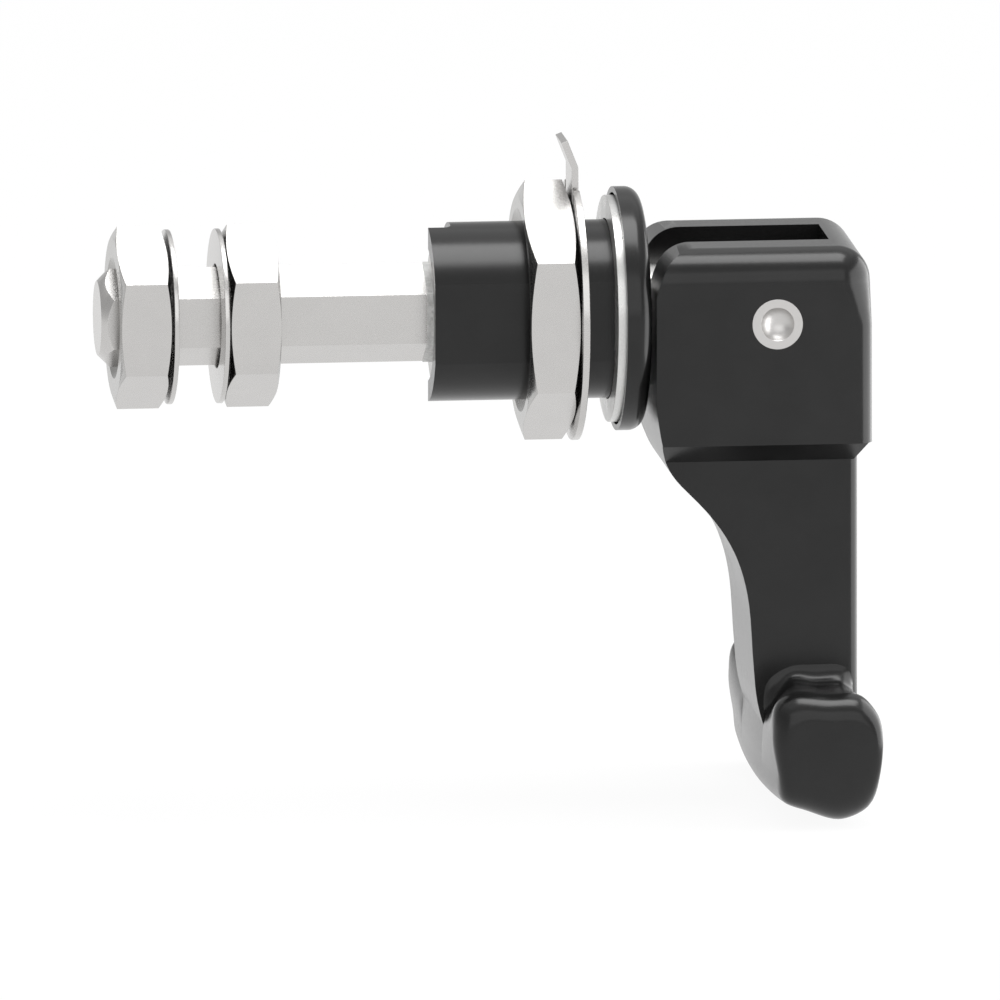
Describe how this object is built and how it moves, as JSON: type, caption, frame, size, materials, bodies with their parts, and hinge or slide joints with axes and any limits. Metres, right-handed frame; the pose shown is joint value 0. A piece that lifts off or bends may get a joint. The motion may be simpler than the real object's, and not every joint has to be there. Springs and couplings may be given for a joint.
{
  "type": "compression latch",
  "caption": "Quarter-turn compression latch with a black T lever on a cross pin, a hexagonal cam spindle, panel nut, earth tab washer and gasket.",
  "frame": {"origin": "on the spindle's axis, in the plane of the panel's outer face, where the gasket seats", "axes": "+X out of the panel along the spindle towards the lever, +Z away from the lowered lever, +Y along the T bar"},
  "size_m": [0.0909, 0.05, 0.0796],
  "materials": {
    "black_zinc": "satin black powder coat on die-cast zinc",
    "black_plastic": "smooth black acetal",
    "black_rubber": "moulded rubber cord",
    "sintered_bronze": "plain sintered bronze",
    "pale_gasket": "pale grey faced sealing washer",
    "plated_steel": "bright zinc plate, satin",
    "spring_steel": "spring steel, lightly oiled"
  },
  "bodies": {
    "housing_group": {"housing": "black_zinc", "wear_disc": "black_plastic", "shaft_seal": "black_rubber", "guide_bush": "sintered_bronze", "panel_gasket": "pale_gasket", "earth_washer": "plated_steel", "panel_nut": "plated_steel", "snap_ring": "spring_steel"},
    "stop_group": {"stop_disc": "plated_steel", "return_spring": "spring_steel", "spring_front_washer": "plated_steel"},
    "spindle_group": {"spindle": "plated_steel", "spindle_clip": "spring_steel", "spring_seat": "plated_steel", "cam_washer_outer": "plated_steel", "cam_washer_inner": "plated_steel", "cam_nut_outer": "plated_steel", "cam_nut_inner": "plated_steel"},
    "lever_group": {"handle": "black_zinc", "pivot_pin": "plated_steel"}
  },
  "joints": [
    {"name": "quarter_turn", "type": "hinge", "parent": "housing_group", "child": "stop_group", "pos_m": [0, 0, 0], "axis": [1, 0, 0], "range_deg": [0, 90]},
    {"name": "spindle_slide", "type": "slide", "parent": "stop_group", "child": "spindle_group", "axis": [1, 0, 0], "range_m": [0, 0.0015], "stiffness_N_per_m": 2500, "springref_m": -0.006, "deforming": ["return_spring"]},
    {"name": "lever_lift", "type": "hinge", "parent": "spindle_group", "child": "lever_group", "pos_m": [0.01893, 0, 0], "axis": [0, -1, 0], "range_deg": [0, 90]}
  ]
}
